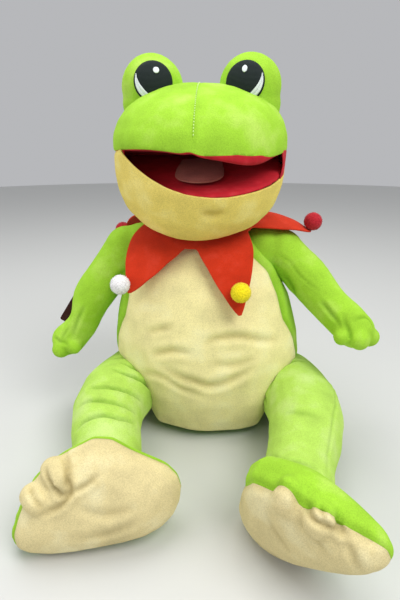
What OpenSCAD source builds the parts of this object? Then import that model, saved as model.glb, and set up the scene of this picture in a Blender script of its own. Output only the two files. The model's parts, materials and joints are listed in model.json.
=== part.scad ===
// Seated plush frog hand puppet with a moving mouth, felt jester's collar and stuffed limbs.
// Frame: origin at the middle of the seat's flat base, +Z up, the puppet faces -Y,
// and +X is the puppet's own left side.

/* [Torso] */
// Height of the torso from the seat to the neck
torso_h = 288; // [270:1:310]
// Widest part of the torso
torso_w = 268; // [250:1:280]
// Sideways lean of the neck over the seat
lean = -14; // [-18:1:0]
// Thickness of the plush cover
cover_t = 2.4; // [2:0.1:3]
// Thickness of the seat panel
seat_t = 9; // [6:1:12]

/* [Hand tunnel] */
// Half width of the sleeve's inside
sleeve_rx = 41; // [36:1:43]
// Half depth of the sleeve's inside
sleeve_ry = 31; // [26:1:33]
// Width of the binding round the opening
binding_w = 6; // [4:1:8]

/* [Collar] */
// Thickness of the felt
felt_t = 2; // [1.5:0.1:3]
// How far the notches reach along the felt, as a share of the points' length
notch_reach = 0.27; // [0.24:0.01:0.4]
// Radius of each pompom
pompom_r = 12.5; // [11:0.5:14]

/* [Head] */
// Half width of the head
head_hw = 106; // [100:1:112]
// Angle of the palate above level
palate_angle = 4; // [2:1:6]
// Angle of the lower lip below level
lip_angle = 18.5; // [16:0.5:20]
// Radius of an eye mound
mound_r = 37.5; // [34:0.5:40]
// Distance of each eye mound from the middle of the head
mound_x = 59; // [56:1:62]
// Radius of an embroidered eye
eye_r = 23.5; // [20:0.5:25]

/* [Limbs] */
// Radius of the arm at the shoulder
shoulder_r = 30; // [28:1:31]
// Radius of the leg at the hip
hip_r = 49; // [45:1:50]
// Gap between a limb's round root and its socket
socket_gap = 2; // [1.8:0.1:2.5]

/* [Hidden] */

LEFT = 1;
RIGHT = -1;
eps = 0.4;            // gap between pieces of one body
big = 400;            // larger than any piece that a cut goes through
lime = "YellowGreen";
cream = "Wheat";
lining_red = "Crimson";
stuffing_white = "WhiteSmoke";

// ---- vectors, ovals and lofts ----
function unit(v) = v / norm(v);
function mix(a, b, t) = a * (1 - t) + b * t;
function oval(c, u, v, n) = [for (i = [0:n - 1]) c + u * cos(360 * i / n) + v * sin(360 * i / n)];
// an oval of half width a and half height b, square to the direction t
function oval_across(c, t, side, a, b, n) =
    let (u = unit(side - t * (side * t)), v = cross(t, u)) oval(c, u * a, v * b, n);
function heading(path, i) = unit(path[min(i + 1, len(path) - 1)] - path[max(i - 1, 0)]);
// one point between a path's points, at station s
function along(path, s) =
    let (i = min(floor(s), len(path) - 2)) mix(path[i], path[i + 1], s - i);
// the same path with its last point moved on by a distance
function longer(path, by) =
    let (last = len(path) - 1) [for (i = [0:last]) i < last ? path[i] : path[i] + heading(path, i) * by];
// corner-cutting of a closed outline: twice the points, half the sharpness
function rounded(p) = [for (i = [0:len(p) - 1]) for (t = [0.25, 0.75]) mix(p[i], p[(i + 1) % len(p)], t)];

// closed solid through a stack of rings, each counter-clockwise round the direction of travel
module loft(rings) {
    n = len(rings[0]);
    m = len(rings);
    polyhedron(
        points = [for (ring = rings) for (p = ring) p],
        faces = concat(
            [[for (i = [0:n - 1]) i]],
            [[for (i = [n - 1:-1:0]) (m - 1) * n + i]],
            [for (k = [0:m - 2]) for (i = [0:n - 1]) [k * n + i, (k + 1) * n + i, (k + 1) * n + (i + 1) % n]],
            [for (k = [0:m - 2]) for (i = [0:n - 1])
                [k * n + i, (k + 1) * n + (i + 1) % n, k * n + (i + 1) % n]]));
}

// a round ball with flat facets
module ball(c, r, n = 16) {
    rows = n / 2;
    loft([for (k = [0:rows])
        let (a = 90 - 180 * min(max(k, 0.25), rows - 0.25) / rows)
        oval(c - [0, 0, r * sin(a)], [r * cos(a), 0, 0], [0, r * cos(a), 0], n)]);
}

// a soft tube along a path, with a half width and a half height at each point
module tube(path, widths, heights, side = [1, 0, 0], grow = 0, n = 16) {
    loft([for (i = [0:len(path) - 1])
        oval_across(path[i], heading(path, i), side, widths[i] + grow, heights[i] + grow, n)]);
}

// a prism across the whole head whose outline is given in Y and Z
module side_prism(points) {
    rotate([90, 0, 90])
        linear_extrude(big, center = true)
            polygon(points);
}

// ---- torso: height, half width, front, back ----
torso_rings = [
    [0, 0.64, -66, 62], [5, 0.77, -78, 74], [14, 0.87, -90, 82], [36, 0.95, -100, 89],
    [66, 0.99, -107, 93], [100, 1.00, -109, 94], [136, 0.98, -106, 92], [172, 0.92, -100, 88],
    [206, 0.85, -91, 82], [234, 0.77, -80, 74], [256, 0.67, -58, 66], [274, 0.53, -41, 58],
    [torso_h, 0.39, -28, 52]];
torso_sides = 32;
function torso_x(z) = lean * z / torso_h;
function torso_oval(r, inset) =
    oval([torso_x(r[0]), (r[2] + r[3]) / 2, r[0]], [r[1] * torso_w / 2 - inset, 0, 0],
        [0, (r[3] - r[2]) / 2 - inset, 0], torso_sides);

module torso_form(inset = 0) {
    loft([for (r = torso_rings) torso_oval(r, inset)]);
}

// everything between two heights
module layer(z0, z1) {
    translate([-big, -big, z0])
        cube([2 * big, 2 * big, z1 - z0]);
}

panel_seam_y = -22;   // the cream front and the green back meet here at the hips
panel_seam_lean = 8;  // the seam leans back towards the neck

module front_half(shift = 0) {
    rotate([-panel_seam_lean, 0, 0])
        translate([-big, panel_seam_y - 2 * big - shift, -big])
            cube([2 * big, 2 * big, 2 * big]);
}

// ---- where the limbs join ----
shoulder_z = 250;
shoulder_x = 107;
hip_x = 112;
hip_y = -22;
hip_z = 54;
function shoulder(side) = [side * shoulder_x + torso_x(shoulder_z), 0, shoulder_z];
function hip(side) = [side * hip_x, hip_y, hip_z];

// room in the torso for the round roots and for the thighs, from level to hanging
hanging_room = 220;
module limb_room() {
    for (side = [LEFT, RIGHT]) {
        hull() {
            ball(shoulder(side), shoulder_r + socket_gap);
            for (sway = [[-4, 0, 0], [-5, 30, -4], [-2, -30, 38]])
                ball(arm_path(side)[2] + [side * sway[0], sway[1], sway[2]], arm_radii[2] + socket_gap);
        }
        hull() {
            ball(hip(side), hip_r + socket_gap, n = 20);
            ball(hip(side) + hanging_room * [side * 0.1, -1, 0.13], hip_r + socket_gap, n = 20);
            ball(hip(side) + hanging_room * [side * 0.55, -0.85, 0.13], hip_r + socket_gap, n = 20);
            ball(hip(side) + hanging_room * [side * 0.1, 0, -1], hip_r + socket_gap, n = 20);
        }
    }
}

// ---- hand tunnel: from the neck down and out through the back ----
neck_y = 12;
neck_z = 316;
neck_r = 44;
neck_c = [lean, neck_y, neck_z];
tunnel_path = [[lean, neck_y, torso_h + 4], [lean, 14, 266], [lean * 0.9, 26, 236],
    [lean * 0.7, 48, 200], [lean * 0.6, 76, 164], [lean * 0.5, 112, 122], [lean * 0.4, 150, 78]];
module tunnel(grow = 0) {
    tube(tunnel_path, [for (p = tunnel_path) p[2] > shoulder_z ? sleeve_rx - 3 : sleeve_rx],
        [for (p = tunnel_path) sleeve_ry], grow = grow);
}
sleeve_t = 1.2;
binding_grow = sleeve_t + eps + binding_w;

module seat_panel() color("OliveDrab") {
    difference() {
        intersection() {
            torso_form();
            layer(0, seat_t);
        }
        limb_room();
    }
}

module torso_shell() {
    difference() {
        torso_form();
        torso_form(cover_t);
        layer(-big, seat_t + eps);
        limb_room();
        tunnel(binding_grow + eps);
        layer(torso_h - 1, big);
    }
}

module belly_panel() color(cream) {
    intersection() {
        torso_shell();
        front_half();
    }
}

module back_panel() color(lime) {
    difference() {
        torso_shell();
        front_half(-eps);
    }
}

module torso_stuffing() color(stuffing_white) {
    difference() {
        torso_form(cover_t + eps);
        layer(-big, seat_t + eps);
        limb_room();
        tunnel(sleeve_t + eps);
        layer(torso_h - 1.5, big);
    }
}

module hand_sleeve() color("DarkSeaGreen") {
    difference() {
        intersection() {
            tunnel(sleeve_t);
            torso_form();
            layer(0, torso_h - 1);
        }
        tunnel();
    }
}

module opening_binding() color("ForestGreen") {
    difference() {
        intersection() {
            tunnel(binding_grow);
            torso_form(-1.5);
        }
        torso_form(cover_t);
        tunnel(sleeve_t + eps);
        layer(torso_h - 40, big);
    }
}

// ---- collar: a ring of felt with points, lying on the shoulders ----
point_turns = [321, 25, 82, 134, 188, 244];   // where each felt point hangs, about the neck
point_half = 26;      // each point spreads this many degrees each way
collar_step = 6;      // degrees between the felt's ribs
collar_rows = 4;
// radius and height along the felt, from the neck out, at the front, sides and back
felt_front = [[50, 284], [76, 267], [99, 245], [114, 211], [126, 168]];
felt_side = [[50, 289.5], [78, 291], [104, 290], [130, 285], [153, 276]];
felt_back = [[48, 286], [66, 274], [84, 252], [96, 222], [104, 184]];
function felt_profile(a, s) =
    let (k = 4 * s, flat = pow(abs(sin(a)), cos(a) > 0 ? 2 : 5))
    mix(along(cos(a) > 0 ? felt_front : felt_back, k), along(felt_side, k), flat);
function felt_point(a, s, up) =
    let (p = felt_profile(a, s), q = felt_profile(a, s + 0.02), n = unit([p[1] - q[1], q[0] - p[0]]))
    let (r = p[0] + n[0] * up, z = p[1] + n[1] * up)
    [lean + r * sin(a), neck_y - r * cos(a), z];
// share of a point's full length that the felt reaches at angle a
function turn_between(a, b) = let (d = abs(a - b) % 360) min(d, 360 - d);
function felt_reach(a) =
    let (t = max([for (b = point_turns) 1 - turn_between(a, b) / point_half]))
    notch_reach + (0.97 - notch_reach) * max(t, 0);

module collar_felt() color("OrangeRed") {
    ribs = 360 / collar_step;
    felt_ribs = [for (i = [0:ribs - 1])
        let (a = collar_step * i, reach = felt_reach(a))
        [for (j = [0:collar_rows]) felt_point(a, reach * j / collar_rows, 0),
         for (j = [collar_rows:-1:0]) felt_point(a, reach * j / collar_rows, felt_t)]];
    n = 2 * (collar_rows + 1);
    polyhedron(
        points = [for (r = felt_ribs) for (p = r) p],
        faces = [for (i = [0:ribs - 1]) for (j = [0:n - 1]) for (half = [0, 1])
            let (i1 = (i + 1) % ribs, j1 = (j + 1) % n)
            half == 0 ? [i * n + j, i1 * n + j1, i * n + j1] : [i * n + j, i1 * n + j, i1 * n + j1]]);
}

// where each pompom is sewn: angle about the neck, share of the felt's length, and lift that
// makes up for the felt's own bend under it
pompom_seats = [[320, 0.92, -1], [24, 0.77, 0.3], [86, 0.92, -1.2],
    [134, 0.80, 1.7], [188, 0.80, 0.3], [246, 0.88, 1.7]];
module pompom(k) {
    seat = pompom_seats[k];
    ball(felt_point(seat[0], seat[1], felt_t + pompom_r + seat[2]), pompom_r, n = 12);
}

module pompom_white() color("White") pompom(0);
module pompom_yellow() color("Yellow") pompom(1);
module pompom_red() color("Crimson") pompom(2);
module pompom_back_white() color("White") pompom(3);
module pompom_back_yellow() color("Yellow") pompom(4);
module pompom_back_red() color("Crimson") pompom(5);

// ---- hang tag: a plain card on a loop sewn into the side seam ----
tag_w = 54;
tag_h = 114;
tag_t = 1.2;
loop_r = 0.8;
tag_middle = [-184.7, 30.9, 165.3];
module tag_place() {
    translate(tag_middle)
        rotate([-6, 34, 14])
            children();
}

module hang_tag() color("Maroon") {
    tag_place()
        difference() {
            cube([tag_w, tag_t, tag_h], center = true);
            translate([0, 0, tag_h / 2 - 7])
                rotate([90, 0, 0])
                    cylinder(r = 2.5, h = 5, center = true, $fn = 12);
        }
}

module tag_loop() color("Gainsboro") {
    loop_path = [[-158, 36, 207], [-157, 32, 208], [-152, 29, 210], [-146, 27, 213], [-141, 25.5, 216]];
    tube(loop_path, [for (p = loop_path) loop_r], [for (p = loop_path) loop_r], side = [0, 1, 0], n = 8);
}

// ---- neck: a soft tube with a round top, which the head nods on ----
module neck_ball(r) {
    ball(neck_c, r);
}

module neck_hole(grow = 0) {
    tube([neck_c + [0, 0, -60], neck_c, neck_c + [0, 0, 60]], [35, 35, 35], [29, 29, 29], grow = grow);
}

neck_low = torso_h + 1.2;
neck_high = neck_z + 22;
module neck_cover() color(lime) {
    difference() {
        intersection() {
            neck_ball(neck_r);
            layer(neck_low, neck_high);
        }
        neck_hole(sleeve_t + eps);
    }
}

module neck_lining() color("DarkSeaGreen") {
    difference() {
        intersection() {
            neck_hole(sleeve_t);
            layer(neck_low, neck_high);
        }
        neck_hole();
    }
}

// ---- head: height, half width, front, back, about the neck's line ----
head_rings = [
    [300, 0.44, -38, 44], [308, 0.64, -60, 60], [320, 0.81, -84, 71], [338, 0.92, -106, 78],
    [358, 0.98, -121, 81], [378, 1.00, -128, 82], [398, 1.00, -125, 81], [414, 0.95, -115, 78],
    [428, 0.86, -101, 72], [440, 0.72, -82, 61], [449, 0.54, -62, 46], [455, 0.30, -38, 24]];
head_sides = 30;
function head_oval(r, inset) =
    oval([lean, (r[2] + r[3]) / 2, r[0]], [r[1] * head_hw - inset, 0, 0],
        [0, (r[3] - r[2]) / 2 - inset, 0], head_sides);
head_bottom = 300;
head_top = 455;
module head_form(inset = 0) {
    intersection() {
        loft([for (r = head_rings) head_oval(r, inset)]);
        layer(head_bottom, head_top - inset);
    }
}

// the mouth opens about this line
hinge_y = 5;
hinge_z = 376;
hinge = [lean, hinge_y, hinge_z];
hinge_relief = 4;
hinge_step = -6;      // where the back of the mouth is cut, along Y
throat_angle = 71;    // the throat's front face below level
jaw_back_angle = 63;  // the jaw's back face below level
function ray(angle, reach) = [hinge_y - reach * cos(angle), hinge_z - reach * sin(angle)];

module mouth_zone() {
    side_prism([[hinge_y, hinge_z], ray(-palate_angle, big), ray(40, 2 * big), ray(throat_angle, big)]);
    translate(hinge)
        rotate([0, 90, 0])
            cylinder(r = hinge_relief, h = big, center = true, $fn = 12);
}

// a slab parallel to the palate, from one height above it to another
module palate_slab(z0, z1) {
    translate(hinge)
        rotate([-palate_angle, 0, 0])
            translate([-big / 2, -big + hinge_step, z0])
                cube([big, big, z1 - z0]);
}

finger_path = [[lean, 24, 322], [lean, 34, 362], [lean, 24, 398], [lean, -14, 409],
    [lean, -56, 407], [lean, -92, 398]];
module finger_space(grow = 0) {
    tube(longer(finger_path, grow), [34, 36, 38, 39, 37, 27], [15, 15, 15, 14, 13, 9], grow = grow);
}

lining_t = 1.6;
board_t = 2;
pocket_t = 1;
module head_cover() color(lime) {
    difference() {
        head_form();
        head_form(cover_t);
        mouth_zone();
        neck_ball(neck_r + socket_gap);
        layer(-big, head_bottom + 1);
    }
}

module head_foam() color(stuffing_white) {
    difference() {
        head_form(cover_t + eps);
        mouth_zone();
        palate_slab(-big / 2, lining_t + board_t + 2 * eps);
        neck_ball(neck_r + socket_gap + cover_t);
        finger_space(pocket_t + eps);
        layer(-big, head_bottom + 1);
    }
}

module palate_lining() color(lining_red) {
    difference() {
        intersection() {
            head_form(cover_t + eps);
            palate_slab(0, lining_t);
        }
        mouth_zone();
    }
}

module palate_board() color("Tan") {
    intersection() {
        head_form(cover_t + 5);
        palate_slab(lining_t + eps, lining_t + eps + board_t);
    }
}

module finger_pocket() color("Lavender") {
    difference() {
        finger_space(pocket_t);
        finger_space();
        palate_slab(-big / 2, lining_t + board_t + 2 * eps);
        neck_ball(neck_r + socket_gap + cover_t);
        mouth_zone();
        layer(-big, neck_z + 12);
    }
}

// ---- eyes ----
mound_y = -10;
mound_z = 452;
function mound(side) = [lean + side * mound_x, mound_y, mound_z];
eye_turn = -9;        // each eye looks a little towards the nose
eye_tilt = -10;       // and a little upwards

module mound_ball(side, lift) {
    translate(mound(side))
        sphere(r = mound_r + lift, $fn = 48);
}

module eye_mound(side) color(lime) {
    difference() {
        mound_ball(side, 0);
        mound_ball(side, -cover_t);
        head_form(-eps);
    }
}

module eye_filling(side) color(stuffing_white) {
    difference() {
        mound_ball(side, -cover_t - eps);
        head_form(-eps);
    }
}

// a thin patch that lies on the mound, inside a round column along the eye's axis
module on_eye(side, lift, thick) {
    difference() {
        intersection() {
            mound_ball(side, lift + thick);
            children();
        }
        mound_ball(side, lift);
        head_form(-1);
    }
}

// a column along the eye's axis, moved across and up it
module eye_column(side, r, across = 0, up = 0) {
    translate(mound(side))
        rotate([90 + eye_tilt, 0, side * eye_turn])
            translate([across, up, 10])
                cylinder(r = r, h = 40, $fn = 48);
}

eye_patch_t = 0.8;
module eye_patch(side) color("#101c1c") {
    on_eye(side, 0.3, eye_patch_t)
        eye_column(side, eye_r);
}

// crescent of white on the outer side of the dark eye
module eye_white(side) color("White") {
    on_eye(side, 0.3 + eye_patch_t + 0.1, 0.5)
        difference() {
            eye_column(side, eye_r - 1.5);
            eye_column(side, eye_r, across = side * -6, up = 4);
        }
}

module eye_glint(side) color("White") {
    on_eye(side, 0.3 + eye_patch_t + 0.1, 0.5)
        eye_column(side, 4, across = side * -2, up = 12);
}

module eye_mound_left() eye_mound(LEFT);
module eye_mound_right() eye_mound(RIGHT);
module eye_filling_left() eye_filling(LEFT);
module eye_filling_right() eye_filling(RIGHT);
module eye_patch_left() eye_patch(LEFT);
module eye_patch_right() eye_patch(RIGHT);
module eye_white_left() eye_white(LEFT);
module eye_white_right() eye_white(RIGHT);
module eye_glint_left() eye_glint(LEFT);
module eye_glint_right() eye_glint(RIGHT);

// ---- jaw: depth below the lip's plane, half width, front, back, about the hinge ----
jaw_rings = [
    [-70, 0.26, -98, -62], [-66, 0.48, -108, -42], [-55, 0.72, -118, -18], [-38, 0.90, -126, 20],
    [-18, 0.98, -130, 40], [0, 1.00, -131, 50], [8, 1.00, -131, 50]];
function jaw_oval(r, inset) =
    oval([0, (r[2] + r[3]) / 2, r[0]], [r[1] * (head_hw - 2) - inset, 0, 0],
        [0, (r[3] - r[2]) / 2 - inset, 0], head_sides);
jaw_low = -70;
jaw_neck_gap = 9;     // the jaw swings back towards the neck as it opens
module in_jaw_frame() {
    translate(hinge)
        rotate([lip_angle, 0, 0])
            children();
}

module jaw_form(inset = 0) {
    difference() {
        in_jaw_frame()
            loft([for (r = jaw_rings)
                let (z = r[0] + (r[0] == jaw_low ? inset : 0))
                jaw_oval([z, r[1], r[2], r[3]], inset)]);
        side_prism([ray(jaw_back_angle, -big), ray(jaw_back_angle, big), [big, hinge_z - big],
            [big, hinge_z + big]]);
        translate(hinge)
            rotate([0, 90, 0])
                cylinder(r = hinge_relief, h = big, center = true, $fn = 12);
        neck_ball(neck_r + jaw_neck_gap);
    }
}

// a slab below the lip's plane, from one depth to another
module jaw_slab(z0, z1) {
    in_jaw_frame()
        translate([-big / 2, -big, z0])
            cube([big, 2 * big, z1 - z0]);
}

thumb_path = [[lean, -10, 322], [lean, -34, 326], [lean, -62, 324], [lean, -92, 318]];
module thumb_space(grow = 0) {
    tube(longer(thumb_path, grow), [17, 17, 16, 11], [12, 12, 11, 8], grow = grow);
}

module jaw_cover() color(cream) {
    difference() {
        jaw_form();
        jaw_form(cover_t);
        jaw_slab(0, big);
        thumb_space(pocket_t + eps);
    }
}

module jaw_foam() color(stuffing_white) {
    difference() {
        jaw_form(cover_t + eps);
        jaw_slab(-(lining_t + board_t + 2 * eps), big);
        thumb_space(pocket_t + eps);
    }
}

module mouth_floor_lining() color(lining_red) {
    intersection() {
        jaw_form(cover_t + eps);
        jaw_slab(-lining_t, 0);
    }
}

module jaw_board() color("Tan") {
    intersection() {
        jaw_form(cover_t + 5);
        jaw_slab(-(lining_t + eps + board_t), -(lining_t + eps));
    }
}

module thumb_pocket() color("Lavender") {
    difference() {
        intersection() {
            thumb_space(pocket_t);
            jaw_form();
        }
        thumb_space();
        jaw_slab(-(lining_t + board_t + 2 * eps), big);
    }
}

tongue_hw = 29;
tongue_t = 2;
module tongue() color("RosyBrown") {
    in_jaw_frame()
        translate([0, 0, eps / 2])
            hull()
                for (p = [[-71, tongue_hw], [-64, tongue_hw - 8]])
                    translate([0, p[0], 0])
                        cylinder(r = p[1], h = tongue_t, $fn = 32);
}

// ---- arms: each path starts at the shoulder ----
function arm_points(side) = side == LEFT
    ? [[0, 0, 0], [25, -14, -20], [47, -28, -42], [67, -44, -62], [85, -58, -78], [97, -70, -89]]
    : [[0, 0, 0], [-19, -6, -24], [-39, -12, -51], [-60, -19, -79], [-79, -26, -105], [-94, -32, -127]];
arm_radii = [30, 28.5, 28.5, 28, 27, 25];
function arm_path(side) = [for (p = arm_points(side)) shoulder(side) + p];

// fingers: where each one sits past the wrist, along, across and down, with its radius
finger_nubs = [[16, 13, 4, 13], [18, -11, 2, 13], [0, 24, -6, 11]];

module arm_core(side, inset = 0) {
    path = arm_path(side);
    ball(path[0], shoulder_r - inset);
    tube(path, arm_radii, arm_radii, side = [0, 1, 0], grow = -inset);
    ball(path[len(path) - 1], arm_radii[5] - inset);
}

module arm_form(side) {
    path = arm_path(side);
    tip = path[len(path) - 1];
    t = heading(path, len(path) - 1);
    u = unit(cross(t, [0, 0, 1]));
    v = cross(u, t);
    arm_core(side);
    for (f = finger_nubs)
        ball(tip + t * f[0] + u * side * f[1] + v * f[2], f[3], n = 12);
}

// the cover is open towards the torso, where it is sewn on
module root_opening(c, inward, r, reach) {
    loft([oval_across(c, inward, [0, 0, 1], r, r, 16),
        oval_across(c + inward * reach, inward, [0, 0, 1], r, r, 16)]);
}

arm_cut = 25;         // the loose stuffing ball sits inside this radius
ball_gap = 2;         // between a loose ball and the firm filling round it
root_reach = 5;       // how far a cover's opening is cut past the joint's ball
arm_root_r = 18;      // the arm cover's opening at the shoulder
arm_filling_root_r = 40;
module arm_cover(side) color(lime) {
    difference() {
        arm_form(side);
        arm_core(side, cover_t);
        root_opening(shoulder(side), [-side, 0, 0], arm_root_r, shoulder_r + root_reach);
    }
}

module arm_stuffing(side) color(stuffing_white) {
    difference() {
        arm_core(side, cover_t + eps);
        ball(shoulder(side), arm_cut + ball_gap);
        root_opening(shoulder(side), [-side, 0, 0], arm_filling_root_r, shoulder_r + root_reach);
    }
}

module shoulder_ball(side) color(stuffing_white) {
    ball(shoulder(side), arm_cut, n = 12);
}

module shoulder_ball_left() shoulder_ball(LEFT);
module shoulder_ball_right() shoulder_ball(RIGHT);
module arm_cover_left() arm_cover(LEFT);
module arm_cover_right() arm_cover(RIGHT);
module arm_stuffing_left() arm_stuffing(LEFT);
module arm_stuffing_right() arm_stuffing(RIGHT);

// ---- legs: each path starts at the hip and ends inside the foot ----
function leg_path(side) = side == LEFT
    ? [hip(LEFT), [120, -55, 58], [127, -90, 61], [126, -125, 60], [118, -162, 56], [107, -200, 52],
        [100, -236, 53], [95, -262, 56]]
    : [hip(RIGHT), [-120, -55, 58], [-126, -90, 62], [-127, -122, 61], [-120, -156, 57], [-109, -190, 53],
        [-103, -220, 52], [-101, -242, 52]];
leg_radii = [49, 49, 48.5, 46, 42, 38, 37, 35];

module leg_form(side, inset = 0) {
    ball(hip(side), hip_r - inset, n = 20);
    tube(leg_path(side), leg_radii, leg_radii, side = [1, 0, 0], grow = -inset, n = 20);
}

// ---- feet: outline in the sole's plane, from heel to toes and across ----
foot_outline = [[-86, 4], [-74, -26], [-40, -46], [10, -56], [62, -62], [90, -52], [82, -14], [66, 22],
    [38, 44], [6, 62], [-40, 42], [-76, 28]];
// sole bulge and upper bulge: distance out of the seam's plane, and scale of the outline
foot_layers = [[30, 0.42], [25, 0.68], [16, 0.88], [0, 1.00], [-12, 0.93], [-22, 0.76], [-29, 0.50]];
function foot_centre(side) = side == LEFT ? [91, -264, 59] : [-100, -246, 52];
function foot_ahead(side) = side == LEFT ? unit([36, -54, 76]) : unit([-131, -18, 13]);
function foot_up_hint(side) = side == LEFT ? [-0.69, 0.45, 0.57] : [0, 0.38, 0.93];
function foot_up(side) =
    let (u = foot_ahead(side), w = foot_up_hint(side)) unit(w - u * (w * u));
function foot_out(side) = cross(foot_ahead(side), foot_up(side)) * side;
function foot_point(side, u, w, t) =
    foot_centre(side) + foot_ahead(side) * u + foot_up(side) * w + foot_out(side) * t;

module foot_form(side, inset = 0) {
    outline = rounded(foot_outline);
    order = [for (i = [0:len(outline) - 1]) side == LEFT ? len(outline) - 1 - i : i];
    loft([for (l = foot_layers)
        [for (i = order)
            let (p = outline[i], q = p * l[1] * (1 - inset / 58))
            foot_point(side, q[0], q[1], l[0] > 0 ? l[0] - inset : l[0] + inset)]]);
}

module foot_half(side, sign, shift = 0) {
    o = foot_centre(side) + foot_out(side) * shift;
    n = foot_out(side) * sign;
    loft([oval_across(o, n, [0, 0, 1], big / 2, big / 2, 12),
        oval_across(o + n * big, n, [0, 0, 1], big / 2, big / 2, 12)]);
}

// toes curl over the sole's front edge: along, across, out of the plane
toe_starts = [[74, 4, 6], [56, 32, 6]];
toe_ends = [[50, -6, 27], [32, 18, 27]];
toe_r = 13;
module toes(side) {
    for (i = [0:len(toe_starts) - 1]) {
        a = toe_starts[i];
        b = toe_ends[i];
        p = foot_point(side, a[0], a[1], a[2]);
        q = foot_point(side, b[0], b[1], b[2]);
        tube([p, mix(p, q, 0.15), mix(p, q, 0.5), mix(p, q, 0.85), q],
            [5, 11, toe_r, 11, 5], [5, 11, toe_r, 11, 5], side = [0, 0, 1], n = 16);
    }
}

module foot_sole(side) color(cream) {
    difference() {
        union() {
            intersection() {
                foot_form(side);
                foot_half(side, 1);
            }
            intersection() {
                toes(side);
                foot_half(side, 1, 2);
            }
        }
        foot_form(side, cover_t);
        layer(-big, 0);
    }
}

module foot_top(side) color(lime) {
    difference() {
        intersection() {
            foot_form(side);
            foot_half(side, -1, -eps);
        }
        foot_form(side, cover_t);
        leg_form(side, -eps);
        layer(-big, 0);
    }
}

module foot_stuffing(side) color(stuffing_white) {
    difference() {
        foot_form(side, cover_t + eps);
        leg_form(side, -eps);
        layer(-big, cover_t + eps);
    }
}

leg_root_r = 30;      // the leg cover's opening at the hip
module leg_cover(side) color(lime) {
    difference() {
        leg_form(side);
        leg_form(side, cover_t);
        root_opening(hip(side), [-side, 0, 0], leg_root_r, hip_r + root_reach);
        foot_half(side, 1, -cover_t - eps);
        layer(-big, 0);
    }
}

hip_ball_r = 41.5;
leg_filling_root_r = 60;
module leg_stuffing(side) color(stuffing_white) {
    difference() {
        leg_form(side, cover_t + eps);
        ball(hip(side), hip_ball_r + ball_gap);
        root_opening(hip(side), [-side, 0, 0], leg_filling_root_r, hip_r + root_reach);
        foot_half(side, 1, -cover_t - 2 * eps);
    }
}

module hip_ball(side) color(stuffing_white) {
    ball(hip(side), hip_ball_r, n = 12);
}

module hip_ball_left() hip_ball(LEFT);
module hip_ball_right() hip_ball(RIGHT);
module leg_cover_left() leg_cover(LEFT);
module leg_cover_right() leg_cover(RIGHT);
module leg_stuffing_left() leg_stuffing(LEFT);
module leg_stuffing_right() leg_stuffing(RIGHT);
module foot_top_left() foot_top(LEFT);
module foot_top_right() foot_top(RIGHT);
module foot_sole_left() foot_sole(LEFT);
module foot_sole_right() foot_sole(RIGHT);
module foot_stuffing_left() foot_stuffing(LEFT);
module foot_stuffing_right() foot_stuffing(RIGHT);

// ---- draw ----
seat_panel();
belly_panel();
back_panel();
torso_stuffing();
hand_sleeve();
opening_binding();
collar_felt();
pompom_white();
pompom_yellow();
pompom_red();
pompom_back_white();
pompom_back_yellow();
pompom_back_red();
hang_tag();
tag_loop();
neck_cover();
neck_lining();
head_cover();
head_foam();
palate_lining();
palate_board();
finger_pocket();
eye_mound_left();
eye_mound_right();
eye_filling_left();
eye_filling_right();
eye_patch_left();
eye_patch_right();
eye_white_left();
eye_white_right();
eye_glint_left();
eye_glint_right();
jaw_cover();
jaw_foam();
mouth_floor_lining();
jaw_board();
tongue();
thumb_pocket();
shoulder_ball_left();
shoulder_ball_right();
arm_cover_left();
arm_cover_right();
arm_stuffing_left();
arm_stuffing_right();
hip_ball_left();
hip_ball_right();
leg_cover_left();
leg_cover_right();
leg_stuffing_left();
leg_stuffing_right();
foot_top_left();
foot_top_right();
foot_sole_left();
foot_sole_right();
foot_stuffing_left();
foot_stuffing_right();
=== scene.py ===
"""Plush frog hand puppet: its looks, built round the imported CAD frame.

Metres, +Z up. The puppet faces -Y and +X is its own left side. Most soft forms start as copies of the CAD
solids, are remeshed, relaxed, creased along their seams and folds, and cut into sewn panels. The felt, the
neck, the sleeve, the tongue, the eyes' embroidery and the fold at the mouth's back are drawn as new surfaces.
"""
import json
import random
from math import cos, exp, pi, radians, sin, sqrt, tan

import bmesh
import bpy
import numpy as np
from mathutils import Matrix, Vector, noise
from mathutils.bvhtree import BVHTree


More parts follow.
